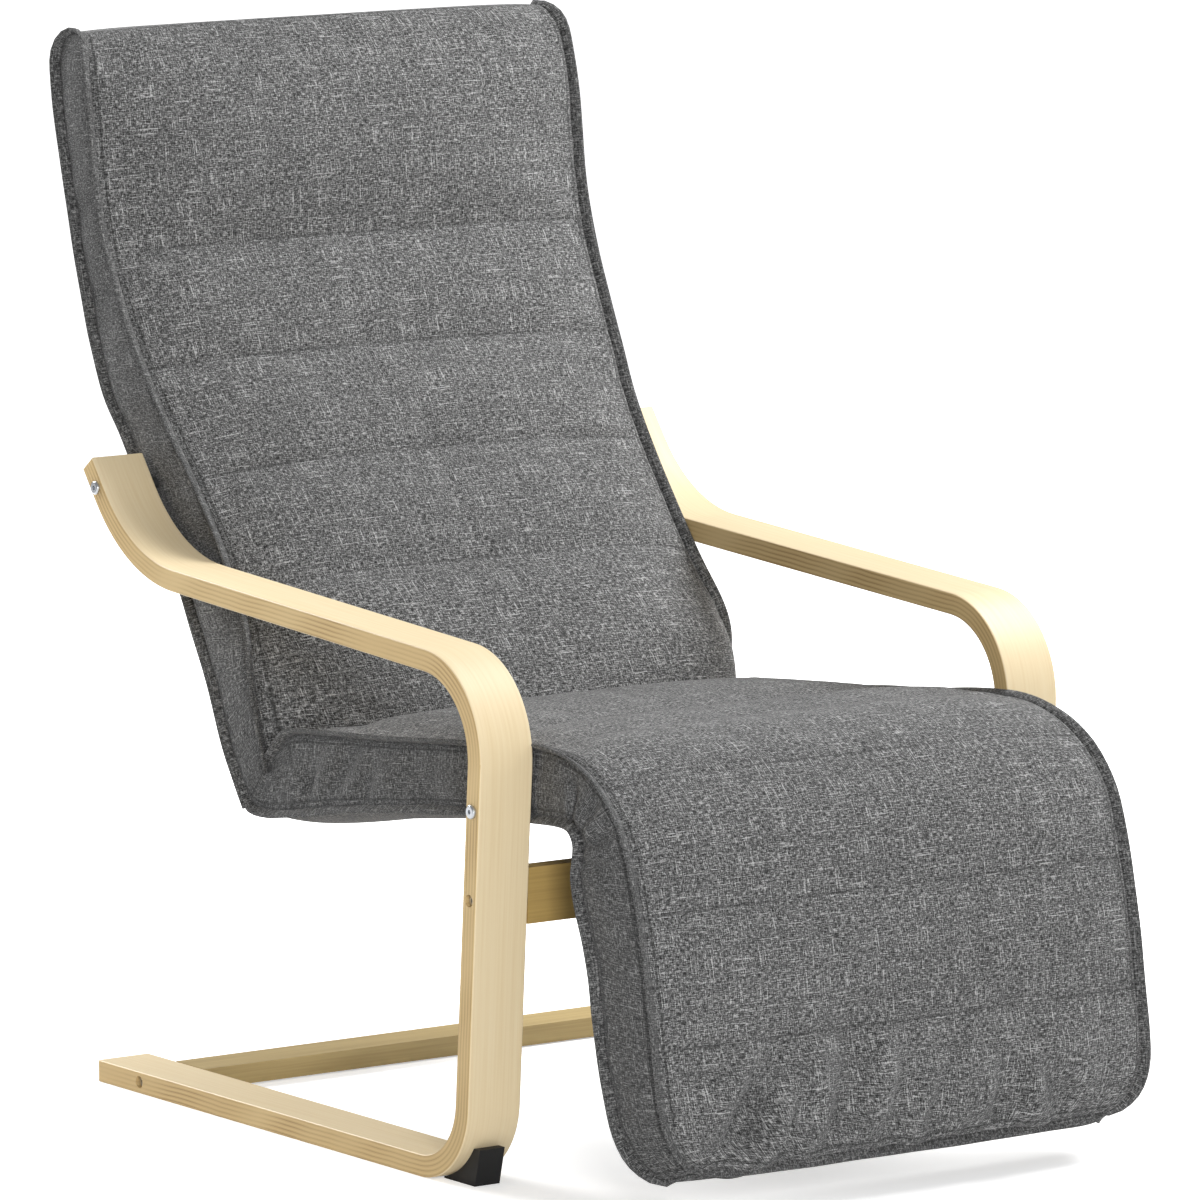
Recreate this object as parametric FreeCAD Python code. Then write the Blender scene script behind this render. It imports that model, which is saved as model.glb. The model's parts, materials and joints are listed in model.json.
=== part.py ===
import FreeCAD, Part
import math
import os
from FreeCAD import Vector

# Bentwood lounge recliner with a raisable footrest.
# Millimetres and degrees. X runs across the chair, +Y to its rear, +Z up.

# Side frames: arm, leg and floor runner bent from one plywood strip
overall_width = 670.0
strip_width = 59.5
strip_thickness = 21.5
strip_edge_round = 2.0
runner_length = 645.6
leg_height = 496.5
leg_lean = 4.2
arm_length = 612.6
arm_rise = 3.1
tail_length = 113.8
tail_slope = 52.5
heel_radius = 82.0
arm_bend_radius = 97.6
tail_bend_radius = 164.0

# Stretchers between the side frames
stretcher_thickness = 20.0
front_stretcher_height = 53.0
front_stretcher_level = 274.5
rear_stretcher_depth = 52.0
rear_stretcher_setback = 50.0

# Plastic feet under the front bends
foot_width = 28.0
foot_length = 51.0
foot_setback = 7.0
foot_height = 36.0
foot_front_slope = 9.0
foot_fit_gap = 0.2
foot_screw_length = 24.0
foot_screw_sink_share = 0.33

# Seat-and-back frame: two bent rails with cross slats
rail_thickness = 20.0
rail_width = 40.0
rail_inset = 77.0
seat_tilt = 6.0
back_lean = 35.0
head_lean = 11.8
lower_back_length = 450.0
head_length = 347.0
seat_corner_radius = 70.0
head_bend_radius = 300.0
seat_bolt_height = 359.0
tail_bolt_setback = 28.0
slat_width = 60.0
slat_thickness = 8.0
head_slat_place = 46.0
head_slat_pitch = 140.0
head_slats = 2
tail_bolt_to_slat = 42.0
back_slat_pitch = 95.0
lower_back_slats = 3
seat_bolt_to_slat = 88.0
corner_slat_gap = 19.0
seat_slats = 3

# Footrest frame and its hinges
hinge_reach = 102.0
footrest_lean = 13.0
footrest_length = 344.0
footrest_slat_place = 75.0
footrest_slat_gap = 3.0
footrest_slats = 3
hinge_rail_gap = 24.0
hinge_arm_length = 90.0
hinge_plate = 3.0
hinge_eye_radius = 12.0
hinge_pin_diameter = 8.0
hinge_pin_play = 0.05
hinge_washer = 0.8
hinge_washer_radius = 10.0
hinge_side_play = 0.1
rivet_head_radius = 7.0
rivet_head_height = 2.0
hinge_screw_pitch = 40.0
hinge_screw_length = 16.0

# Bolts, nuts and screws
bolt_diameter = 6.0
bolt_clearance = 0.25
nut_clearance = 0.05
bolt_head_diameter = 13.5
bolt_head_height = 3.2
bolt_head_round = 1.8
recess_diameter = 12.0
recess_depth = 9.0
recessed_head_diameter = 10.0
recessed_head_height = 5.0
socket_flats = 4.0
socket_depth = 2.2
barrel_diameter = 10.0
barrel_length = 14.0
barrel_clearance = 0.1
barrel_depth = 22.0
bolt_tip = 9.0
spacer_diameter = 12.0
screw_diameter = 4.0
screw_head_diameter = 8.0
screw_head_height = 2.4
screw_length = 24.0
screw_clearance = 0.05

# Quilted cover, each part a padded sleeve over its frame
cover_side_gap = 8.0
seat_top_rise = 55.0
seat_front_rise = 30.5
seat_front_fall = 70.0
seat_under_drop = 22.0
seat_crown = 9.0
seat_channel_pitch = 125.0
seat_first_channel = 72.0
seat_channels = 3
head_flare = 15.0
head_front_rise = 33.0
back_front_rise = 65.0
back_rear_drop = 14.0
head_crown = 12.0
lower_back_crown = 37.0
head_panel = 205.0
back_channel_pitch = 117.0
back_channels = 4
footrest_flare = 8.5
footrest_front_rise = 62.0
footrest_top_rise = 39.0
footrest_top_round = 75.0
footrest_rear_drop = 16.0
footrest_crown = 12.0
footrest_first_channel = 105.0
footrest_channel_pitch = 128.0
footrest_channels = 2
footrest_end_wall = 46.0
footrest_toe_rise = 34.0
footrest_toe_reach = 46.0
pillow_crown = 7.0
channel_sink = 2.0
side_draw = 3.0
end_round = 9.0
pillow_steps = 6
end_wall = 14.0
sleeve_gap = 0.4
hinge_gap = 8.0
edge_pad_flare = 5.0
edge_pad_inner = 14.0
edge_pad_reach = 24.0
edge_pad_crown = 15.0
spacer_hole_gap = 0.5
swing_clearance = 4.0

# A length longer than the whole chair, for cutting planes
far = 3000.0


def heading(angle):
    turn = math.radians(angle)
    return Vector(0, math.cos(turn), math.sin(turn))


def right_of(direction):
    return Vector(0, direction.z, -direction.y)


def turn_of(first, second):
    return first.y * second.z - first.z * second.y


def crossing(point, direction, other_point, other_direction):
    # Where two straight lines of the side view meet
    along = turn_of(other_point - point, other_direction) / turn_of(direction, other_direction)
    return point + direction * along


class BentPath:
    # Straight runs of the side view joined by tangent arcs, set off to the right by a distance
    def __init__(self, corners, radii, offset=0.0):
        runs = [(b - a).normalize() for a, b in zip(corners, corners[1:])]
        sides = [right_of(run) for run in runs]
        points = [corners[0] + sides[0] * offset]
        for corner, before, after in zip(corners[1:], sides, sides[1:]):
            points.append(corner + (before + after) * (offset / (1 + before.dot(after))))
        points.append(corners[-1] + sides[-1] * offset)
        self.pieces = []
        start = points[0]
        for corner, radius, before, after in zip(points[1:], radii, runs, runs[1:]):
            hand = math.copysign(1.0, turn_of(before, after))
            bend = radius + offset * hand
            angle = before.getAngle(after)
            reach = bend * math.tan(angle / 2)
            centre = corner - before * reach - right_of(before) * (bend * hand)
            self.pieces.append(("run", start, corner - before * reach))
            self.pieces.append(("arc", corner - before * reach, corner + after * reach, centre, hand * angle))
            start = corner + after * reach
        self.pieces.append(("run", start, points[-1]))
        self.start = points[0]
        self.end = points[-1]

    def turned(self, piece, share):
        spoke = piece[1] - piece[3]
        angle = piece[4] * share
        cos, sin = math.cos(angle), math.sin(angle)
        return piece[3] + Vector(0, spoke.y * cos - spoke.z * sin, spoke.y * sin + spoke.z * cos)

    def edges(self):
        made = []
        for piece in self.pieces:
            if piece[0] == "run":
                made.append(Part.LineSegment(piece[1], piece[2]).toShape())
            else:
                made.append(Part.Arc(piece[1], self.turned(piece, 0.5), piece[2]).toShape())
        return made

    def at(self, distance):
        # Point and direction at a distance from the start, along the end runs where it lies beyond them
        left = distance
        for piece in self.pieces:
            if piece[0] == "run":
                length = (piece[2] - piece[1]).Length
                direction = (piece[2] - piece[1]).normalize()
                if left <= length or piece is self.pieces[-1]:
                    return piece[1] + direction * left, direction
            else:
                radius = (piece[1] - piece[3]).Length
                length = radius * abs(piece[4])
                if left <= length:
                    point = self.turned(piece, left / length)
                    spoke = (point - piece[3]).normalize()
                    return point, right_of(spoke) * -math.copysign(1.0, piece[4])
            left -= length

    def length(self):
        return sum(edge.Length for edge in self.edges())


def slab(corners, x_low, x_high):
    outline = Part.makePolygon(list(corners) + [corners[0]])
    face = Part.Face(outline)
    face.translate(Vector(x_low, 0, 0))
    return face.extrude(Vector(x_high - x_low, 0, 0))


def band(corners, radii, low, high, x_low, x_high):
    # A strip between two offsets of one path, as wide as the span in X
    inner = BentPath(corners, radii, low)
    outer = BentPath(corners, radii, high)
    ends = [Part.LineSegment(inner.start, outer.start), Part.LineSegment(inner.end, outer.end)]
    edges = inner.edges() + outer.edges() + [end.toShape() for end in ends]
    face = Part.Face(Part.Wire(Part.__sortEdges__(edges)))
    face.translate(Vector(x_low, 0, 0))
    return face.extrude(Vector(x_high - x_low, 0, 0))


def rod(radius, x_low, x_high, centre):
    return Part.makeCylinder(radius, x_high - x_low, centre + Vector(x_low, 0, 0), Vector(1, 0, 0))


def mirrored(shape):
    return shape.mirror(Vector(0, 0, 0), Vector(1, 0, 0))


def both_sides(shapes):
    return Part.makeCompound(list(shapes) + [mirrored(shape) for shape in shapes])


def cut_all(shape, tools):
    return shape.cut(Part.makeCompound(list(tools))) if tools else shape


def solid_of(shape):
    return shape.Solids[0] if len(shape.Solids) == 1 else shape


# Side view of a side frame, along its outer and upper surface
frame_outside = overall_width / 2
frame_inside = frame_outside - strip_width
runner_end = Vector(0, runner_length, 0)
heel = Vector(0, 0, 0)
arm_front = Vector(0, -leg_height * math.tan(math.radians(leg_lean)), leg_height)
arm_rear = arm_front + heading(arm_rise) * arm_length
tail_end = arm_rear + heading(tail_slope) * tail_length
strip_corners = [runner_end, heel, arm_front, arm_rear, tail_end]
strip_radii = [heel_radius, arm_bend_radius, tail_bend_radius]
leg_up = (arm_front - heel).normalize()
strip_middle = strip_thickness / 2

# Bolt places in the side view, all in the middle of the strip's thickness
leg_middle = heel + right_of(leg_up) * strip_middle
seat_bolt = crossing(leg_middle, leg_up, Vector(0, 0, seat_bolt_height), Vector(0, 1, 0))
front_stretcher_bolt = crossing(leg_middle, leg_up, Vector(0, 0, front_stretcher_level), Vector(0, 1, 0))
tail_back = heading(tail_slope)
tail_bolt = tail_end + right_of(tail_back) * strip_middle - tail_back * tail_bolt_setback
rear_stretcher_rear = runner_length - rear_stretcher_setback
rear_stretcher_bolt = Vector(0, rear_stretcher_rear - rear_stretcher_depth / 2,
                             strip_thickness - stretcher_thickness / 2)

# Rail path in the side view, from the head down to the hinge, with the sitter on its right
seat_forward = -heading(-seat_tilt)
back_down = -heading(90 - back_lean)
head_down = -heading(90 - head_lean)
rail_corner = crossing(seat_bolt, seat_forward, tail_bolt, back_down)
rail_bend = rail_corner - back_down * lower_back_length
rail_head = rail_bend - head_down * head_length
hinge = seat_bolt + seat_forward * hinge_reach
footrest_down = -heading(90 - footrest_lean)
rail_outside = frame_outside - rail_inset
rail_inside = rail_outside - rail_width
rail_half = rail_thickness / 2
back_path = BentPath([rail_head, rail_bend, rail_corner], [head_bend_radius])
seat_path = BentPath([rail_corner, hinge], [])
footrest_path = BentPath([hinge, hinge + footrest_down * footrest_length], [])
back_length = back_path.length()
seat_length = seat_path.length()
slat_front = rail_half + slat_thickness

# Hinge plates stack inwards from the rail's inner face
seat_arm_inside = rail_inside - hinge_plate
washer_inside = seat_arm_inside - hinge_washer
footrest_rail_inside = washer_inside - hinge_side_play
footrest_rail_outside = footrest_rail_inside + rail_width
footrest_arm_inside = footrest_rail_inside - hinge_plate


def socket(centre, x_mouth):
    # Hexagonal key socket that opens towards +X
    radius = socket_flats / math.sqrt(3)
    corners = []
    for step in range(6):
        turn = math.radians(60 * step)
        corners.append(centre + Vector(0, radius * math.cos(turn), radius * math.sin(turn)))
    return slab(corners, x_mouth - socket_depth, x_mouth)


def rail_bolt(place):
    tip = rail_outside - barrel_depth - bolt_tip
    head_top = frame_outside + bolt_head_height
    head = rod(bolt_head_diameter / 2, frame_outside, head_top, place)
    rim = [edge for edge in head.Edges if abs(edge.CenterOfMass.x - head_top) < 0.01]
    head = head.makeFillet(bolt_head_round, rim).cut(socket(place, head_top))
    return head.fuse(rod(bolt_diameter / 2, tip, frame_outside, place)).removeSplitter()


def stretcher_bolt(place):
    seat = frame_outside - recess_depth
    tip = frame_inside - barrel_depth - bolt_tip
    head = rod(recessed_head_diameter / 2, seat, seat + recessed_head_height, place)
    head = head.cut(socket(place, seat + recessed_head_height))
    return head.fuse(rod(bolt_diameter / 2, tip, seat, place)).removeSplitter()


def bolt_hole(place, x_low, x_high):
    return rod(bolt_diameter / 2 + bolt_clearance, x_low, x_high, place)


def recess(place):
    return rod(recess_diameter / 2, frame_outside - recess_depth, frame_outside, place)


def barrel_nut(place, x, axis):
    body = Part.makeCylinder(barrel_diameter / 2, barrel_length,
                             place + Vector(x, 0, 0) - axis * (barrel_length / 2), axis)
    return body.cut(rod(bolt_diameter / 2 + nut_clearance, x - barrel_diameter, x + barrel_diameter, place))


def barrel_hole(place, x, axis, depth_below):
    # Blind cross hole for a barrel nut, open on the side that the axis comes from
    length = depth_below + barrel_length / 2 + barrel_clearance
    return Part.makeCylinder(barrel_diameter / 2 + barrel_clearance, length,
                             place + Vector(x, 0, 0) - axis * depth_below, axis)


def screw(mouth, inward, length, gap=0.0):
    # Countersunk wood screw with its head flush at the mouth
    cone = Part.makeCone(screw_head_diameter / 2 + gap, screw_diameter / 2 + gap, screw_head_height,
                         mouth, inward)
    shank = Part.makeCylinder(screw_diameter / 2 + gap, length + gap, mouth, inward)
    return cone.fuse(shank).removeSplitter()


def side_frame():
    strip = band(strip_corners, strip_radii, 0.0, strip_thickness, frame_inside, frame_outside)
    faces = (frame_inside, frame_outside)
    rims = [edge for edge in strip.Edges
            if any(all(abs(v.X - x) < 0.01 for v in edge.Vertexes) for x in faces)]
    strip = strip.makeFillet(strip_edge_round, rims)
    places = (seat_bolt, tail_bolt, front_stretcher_bolt, rear_stretcher_bolt)
    holes = [bolt_hole(place, frame_inside, frame_outside) for place in places]
    holes += [recess(place) for place in (front_stretcher_bolt, rear_stretcher_bolt)]
    holes.append(screw(foot_screw_mouth, foot_screw_axis, foot_screw_length, screw_clearance))
    return strip.cut(Part.makeCompound(holes))


def front_stretcher():
    low = front_stretcher_bolt + Vector(0, -stretcher_thickness / 2, -front_stretcher_height / 2)
    board = Part.makeBox(2 * frame_inside, stretcher_thickness, front_stretcher_height,
                         low - Vector(frame_inside, 0, 0))
    return cut_all(board, stretcher_holes(front_stretcher_bolt, Vector(0, -1, 0)))


def rear_stretcher():
    low = rear_stretcher_bolt - Vector(frame_inside, rear_stretcher_depth / 2, stretcher_thickness / 2)
    board = Part.makeBox(2 * frame_inside, rear_stretcher_depth, stretcher_thickness, low)
    return cut_all(board, stretcher_holes(rear_stretcher_bolt, Vector(0, 0, 1)))


def stretcher_holes(place, axis):
    x_nut = frame_inside - barrel_depth
    tip = x_nut - bolt_tip - bolt_clearance
    one_side = [bolt_hole(place, tip, frame_inside), barrel_hole(place, x_nut, axis, stretcher_thickness / 2)]
    return one_side + [mirrored(hole) for hole in one_side]


# Foot: a wedge under the bend, from the floor up to the strip's round underside
strip_centre_x = (frame_outside + frame_inside) / 2
foot_front = Vector(0, foot_setback, 0)
foot_rear = foot_front + Vector(0, foot_length, 0)
foot_top = foot_front + Vector(0, -foot_front_slope, foot_height)
foot_screw_place = (foot_front + foot_rear) * 0.5
heel_path = BentPath(strip_corners, strip_radii)
heel_centre = heel_path.pieces[1][3]
foot_screw_axis = (heel_centre - foot_screw_place).normalize()
foot_wall = (heel_centre - foot_screw_place).Length - heel_radius
foot_screw_sink = foot_wall * foot_screw_sink_share
foot_screw_mouth = foot_screw_place + Vector(strip_centre_x, 0, 0) + foot_screw_axis * foot_screw_sink


def front_foot():
    corners = [foot_front, foot_rear, foot_rear + Vector(0, 0, foot_height), foot_top]
    x_low = strip_centre_x - foot_width / 2
    wedge = slab(corners, x_low, x_low + foot_width)
    bend = rod(heel_radius + foot_fit_gap, x_low - foot_width, x_low + 2 * foot_width, heel_centre)
    wedge = wedge.cut(bend)
    wedge = min(wedge.Solids, key=lambda piece: piece.CenterOfMass.z)
    mouth = foot_screw_mouth - foot_screw_axis * foot_height
    bore = Part.makeCylinder(screw_head_diameter / 2 + screw_clearance, foot_height, mouth, foot_screw_axis)
    return wedge.cut(bore.fuse(screw(foot_screw_mouth, foot_screw_axis, foot_screw_length, screw_clearance)))


def spread(first, last, count):
    return [first + (last - first) * step / (count - 1) for step in range(count)]


def slat_frame(path, distance):
    point, direction = path.at(distance)
    return point, direction, right_of(direction)


def slat(path, distance, half_span):
    point, direction, front = slat_frame(path, distance)
    low = point + front * rail_half - direction * (slat_width / 2)
    corners = [low, low + direction * slat_width]
    corners += [corners[1] + front * slat_thickness, low + front * slat_thickness]
    return slab(corners, -half_span, half_span)


def slat_screws(path, distance, x, gap=0.0):
    point, direction, front = slat_frame(path, distance)
    mouth = point + front * slat_front + Vector(x, 0, 0)
    return [screw(mouth, -front, screw_length, gap)]


rail_middle = (rail_outside + rail_inside) / 2
footrest_rail_middle = (footrest_rail_outside + footrest_rail_inside) / 2
seat_rail_end = hinge - seat_forward * hinge_rail_gap
rail_head_end = rail_head + head_down * end_wall
tail_bolt_place = back_length - (tail_bolt - rail_corner).Length
seat_bolt_place = seat_length - hinge_reach
back_slat_places = [head_slat_place + head_slat_pitch * step for step in range(head_slats)]
back_slat_places += [tail_bolt_place + tail_bolt_to_slat + back_slat_pitch * step
                     for step in range(lower_back_slats)]
corner_reach = seat_corner_radius * math.tan(back_down.getAngle(seat_forward) / 2)
seat_slat_places = spread(seat_bolt_place - seat_bolt_to_slat,
                          corner_reach + corner_slat_gap + slat_width / 2, seat_slats)
footrest_rail_length = footrest_length - footrest_end_wall
footrest_slat_places = spread(footrest_slat_place,
                              footrest_rail_length - footrest_slat_gap - slat_width / 2, footrest_slats)
upper_slats = [(back_path, place) for place in back_slat_places]
upper_slats += [(seat_path, place) for place in seat_slat_places]
lower_slats = [(footrest_path, place) for place in footrest_slat_places]
seat_up = right_of(seat_forward)
back_front = right_of(back_down)
footrest_front = right_of(footrest_down)
rail_nut_x = rail_outside - barrel_depth


def arm_screws(direction, x_face, gap=0.0):
    # Two screws through a hinge arm into its rail, driven outwards
    outer_place = hinge_arm_length - hinge_eye_radius
    mouths = [hinge + direction * place + Vector(x_face, 0, 0)
              for place in (outer_place, outer_place - hinge_screw_pitch)]
    return [screw(mouth, Vector(1, 0, 0), hinge_screw_length, gap) for mouth in mouths]


def seat_back_rail():
    rail = band([rail_head_end, rail_bend, rail_corner, seat_rail_end],
                [head_bend_radius, seat_corner_radius], -rail_half, rail_half, rail_inside, rail_outside)
    tip = rail_nut_x - bolt_tip - bolt_clearance
    holes = [bolt_hole(place, tip, rail_outside) for place in (seat_bolt, tail_bolt)]
    holes.append(barrel_hole(seat_bolt, rail_nut_x, seat_up, rail_half))
    holes.append(barrel_hole(tail_bolt, rail_nut_x, back_front, rail_half))
    for path, place in upper_slats:
        holes += slat_screws(path, place, rail_middle, screw_clearance)
    holes += arm_screws(-seat_forward, seat_arm_inside, screw_clearance)
    return rail.cut(Part.makeCompound(holes))


def footrest_rail():
    start = hinge + footrest_down * hinge_rail_gap
    end = hinge + footrest_down * footrest_rail_length
    rail = band([start, end], [], -rail_half, rail_half, footrest_rail_inside, footrest_rail_outside)
    holes = []
    for path, place in lower_slats:
        holes += slat_screws(path, place, footrest_rail_middle, screw_clearance)
    holes += arm_screws(footrest_down, footrest_arm_inside, screw_clearance)
    return rail.cut(Part.makeCompound(holes))


def hinge_arm(direction, x_low):
    x_high = x_low + hinge_plate
    eye = rod(hinge_eye_radius, x_low, x_high, hinge)
    arm = band([hinge, hinge + direction * hinge_arm_length], [], -rail_half, rail_half, x_low, x_high)
    plate = eye.fuse(arm).removeSplitter()
    hole = rod(hinge_pin_diameter / 2 + hinge_pin_play, x_low, x_high, hinge)
    return plate.cut(Part.makeCompound([hole] + arm_screws(direction, x_low, screw_clearance)))


def hinge_pivot():
    pin = rod(hinge_pin_diameter / 2, footrest_arm_inside - hinge_side_play, rail_inside, hinge)
    outer = rod(rivet_head_radius, rail_inside, rail_inside + rivet_head_height, hinge)
    inner_face = footrest_arm_inside - hinge_side_play
    inner = rod(rivet_head_radius, inner_face - rivet_head_height, inner_face, hinge)
    return pin.fuse([outer, inner]).removeSplitter()


def hinge_friction_washer():
    ring = rod(hinge_washer_radius, washer_inside, seat_arm_inside, hinge)
    return ring.cut(rod(hinge_pin_diameter / 2 + hinge_pin_play, washer_inside, seat_arm_inside, hinge))


def section(path, distance, half_width, front, rear, crown):
    # One cross section of a padded sleeve: crowned front, drawn-in sides, flat back
    point, direction = path.at(distance)
    normal = right_of(direction)
    corners = [(-half_width, front), (half_width, front), (half_width, -rear), (-half_width, -rear)]
    a, b, c, d = [point + Vector(x, 0, 0) + normal * out for x, out in corners]
    middle = (front - rear) / 2
    drawn = half_width - side_draw
    edges = [Part.Arc(a, point + normal * (front + crown), b),
             Part.Arc(b, point + Vector(drawn, 0, 0) + normal * middle, c),
             Part.LineSegment(c, d),
             Part.Arc(d, point + Vector(-drawn, 0, 0) + normal * middle, a)]
    return Part.Wire([edge.toShape() for edge in edges])


def half_space(point, direction, side):
    # Everything on one side of a plane that holds the X axis and the given direction
    low = point - direction * far
    high = point + direction * far
    return slab([low, high, high + side * far, low + side * far], -far, far)


def quilted(path, seams, shape_at):
    # A run of pillows between sewn seams, each swelling to its middle
    wires = []
    for low, high in zip(seams, seams[1:]):
        for step in range(pillow_steps):
            share = step / pillow_steps
            swell = math.sin(math.pi * share)
            wires.append(pillow_section(path, low + (high - low) * share, swell, shape_at))
    wires.append(pillow_section(path, seams[-1], 0.0, shape_at))
    return Part.makeLoft(wires, True, True)


def pillow_section(path, place, swell, shape_at):
    half_width, front, rear, crown = shape_at(place)
    sunk = channel_sink * (1 - swell)
    return section(path, place, half_width, front - sunk, rear, crown + pillow_crown * swell)


def share_between(place, low, high):
    return min(max((place - low) / (high - low), 0.0), 1.0)


# Half widths of the cover, which passes between the side frames
cover_half_width = frame_inside - cover_side_gap
head_half_width = cover_half_width + head_flare
footrest_half_width = cover_half_width + footrest_flare
edge_pad_half_width = cover_half_width + edge_pad_flare

# The cover is mitred where the seat meets the back
mitre = (seat_forward - back_down).normalize()
mitre_side = -right_of(mitre)
spacer_hole_radius = spacer_diameter / 2 + spacer_hole_gap
seat_under_setback = hinge_gap + footrest_rear_drop + swing_clearance
sleeve_low = -rail_half - sleeve_gap
sleeve_high = slat_front + sleeve_gap
upper_cavity = band([rail_head_end - head_down * sleeve_gap, rail_bend, rail_corner, hinge],
                    [head_bend_radius, seat_corner_radius], sleeve_low, sleeve_high,
                    -rail_outside - sleeve_gap, rail_outside + sleeve_gap)


def spacer_holes(place):
    hole = rod(spacer_hole_radius, rail_outside, frame_inside, place)
    return [hole, mirrored(hole)]


def back_cushion():
    channels = [head_panel + back_channel_pitch * step for step in range(back_channels)]

    def shape_at(place):
        half_width = head_half_width - head_flare * share_between(place, head_panel, channels[-1])
        deeper = share_between(place, head_panel, channels[1])
        front = head_front_rise + (back_front_rise - head_front_rise) * deeper
        crown = head_crown + (lower_back_crown - head_crown) * share_between(place, head_panel, channels[-1])
        inset = end_round if place == 0.0 else 0.0
        return half_width - inset, front - inset, back_rear_drop, crown

    below = back_length + back_channel_pitch
    pad = quilted(back_path, [0.0] + channels + [below], shape_at)
    pad = pad.cut(half_space(rail_corner - mitre_side * (sleeve_gap / 2), mitre, mitre_side))
    pad = pad.cut(upper_cavity)
    return solid_of(pad.cut(Part.makeCompound(spacer_holes(tail_bolt))))


def seat_cushion():
    front_end = seat_length - hinge_gap
    channels = sorted(seat_length - seat_first_channel - seat_channel_pitch * step
                      for step in range(seat_channels))

    def shape_at(place):
        fall = share_between(place, front_end - seat_front_fall, front_end)
        rise = seat_top_rise - (seat_top_rise - seat_front_rise) * fall ** 2
        return cover_half_width + edge_pad_flare * fall, rise, seat_under_drop, seat_crown

    behind = channels[0] - seat_channel_pitch
    seams = [behind - 2 * seat_channel_pitch, behind - seat_channel_pitch, behind] + channels + [front_end]
    pad = quilted(seat_path, seams, shape_at)
    pad = pad.cut(half_space(rail_corner + mitre_side * (sleeve_gap / 2), mitre, -mitre_side))
    pad = pad.cut(upper_cavity)
    swing_edge = hinge - seat_forward * seat_under_setback
    swing_room = slab([swing_edge, hinge, hinge - seat_up * far, swing_edge - seat_up * far], -far, far)
    return solid_of(pad.cut(Part.makeCompound(spacer_holes(seat_bolt) + [swing_room])))


def footrest_cushion():
    channels = [footrest_first_channel + footrest_channel_pitch * step for step in range(footrest_channels)]
    top = hinge_gap

    def shape_at(place):
        fuller = math.sin(math.pi / 2 * share_between(place, top, top + footrest_top_round))
        half_width = edge_pad_half_width + (footrest_half_width - edge_pad_half_width) * fuller
        front = footrest_top_rise + (footrest_front_rise - footrest_top_rise) * fuller
        inset = end_round if place == footrest_length else 0.0
        return half_width - inset, front - inset, footrest_rear_drop, footrest_crown

    pad = quilted(footrest_path, [top] + channels + [footrest_length], shape_at)
    cavity_end = hinge + footrest_down * (footrest_rail_length + sleeve_gap)
    half_span = footrest_rail_outside + sleeve_gap
    cavity = band([hinge, cavity_end], [], sleeve_low, sleeve_high, -half_span, half_span)
    swing_edge = hinge + footrest_down * (rail_half + swing_clearance)
    swing_room = slab([swing_edge, hinge, hinge - footrest_front * far, swing_edge - footrest_front * far],
                      -far, far)
    pad = pad.cut(Part.makeCompound([cavity, swing_room]))
    toe_rear = hinge + footrest_down * (footrest_length - footrest_toe_rise)
    toe_rear = toe_rear - footrest_front * footrest_rear_drop
    toe = footrest_down * footrest_toe_rise + footrest_front * footrest_toe_reach
    return solid_of(pad.cut(half_space(toe_rear, toe.normalize(), -right_of(toe))))


def front_edge_pad():
    # Rolled front edge of the seat, between the seat sleeve and the footrest sleeve
    seat_face = hinge - seat_forward * (hinge_gap - sleeve_gap)
    footrest_face = hinge + footrest_down * (hinge_gap - sleeve_gap)
    outward = (seat_up + footrest_front).normalize()

    def profile(x, crown):
        across = Vector(x, 0, 0)
        top = seat_face + seat_up * (seat_front_rise + crown) + across
        front = footrest_face + footrest_front * (footrest_top_rise + crown) + across
        low_front = footrest_face + footrest_front * edge_pad_inner + across
        low_top = seat_face + seat_up * edge_pad_inner + across
        edges = [Part.Arc(top, hinge + outward * (edge_pad_reach + crown) + across, front),
                 Part.LineSegment(front, low_front),
                 Part.Arc(low_front, hinge + outward * edge_pad_inner + across, low_top),
                 Part.LineSegment(low_top, top)]
        return Part.Wire([edge.toShape() for edge in edges])

    half = edge_pad_half_width
    stations = [(-half, 0.0), (-half / 2, edge_pad_crown), (half / 2, edge_pad_crown), (half, 0.0)]
    roll = Part.makeLoft([profile(x, crown) for x, crown in stations], True, False)
    cheek_rise = (edge_pad_inner + seat_front_rise) / 2
    cheek = slab([seat_face + seat_up * cheek_rise,
                  crossing(seat_face, seat_up, footrest_face, footrest_front),
                  footrest_face + footrest_front * cheek_rise,
                  hinge + outward * cheek_rise], rail_outside + sleeve_gap, half)
    return solid_of(roll.fuse([cheek, mirrored(cheek)]).removeSplitter())


def slat_node(path, place, half_span, screw_x):
    board = slat(path, place, half_span)
    holes = slat_screws(path, place, screw_x, screw_clearance)
    return board.cut(Part.makeCompound(holes + [mirrored(hole) for hole in holes]))


def slat_screw_group(slats, screw_x):
    made = []
    for path, place in slats:
        made += slat_screws(path, place, screw_x)
    return both_sides(made)


def spacer(place):
    tube = rod(spacer_diameter / 2, rail_outside, frame_inside, place)
    return tube.cut(bolt_hole(place, rail_outside, frame_inside))


nodes = {}


def add_pair(name, shape):
    nodes[name + "_left"] = shape
    nodes[name + "_right"] = mirrored(shape)


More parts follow.
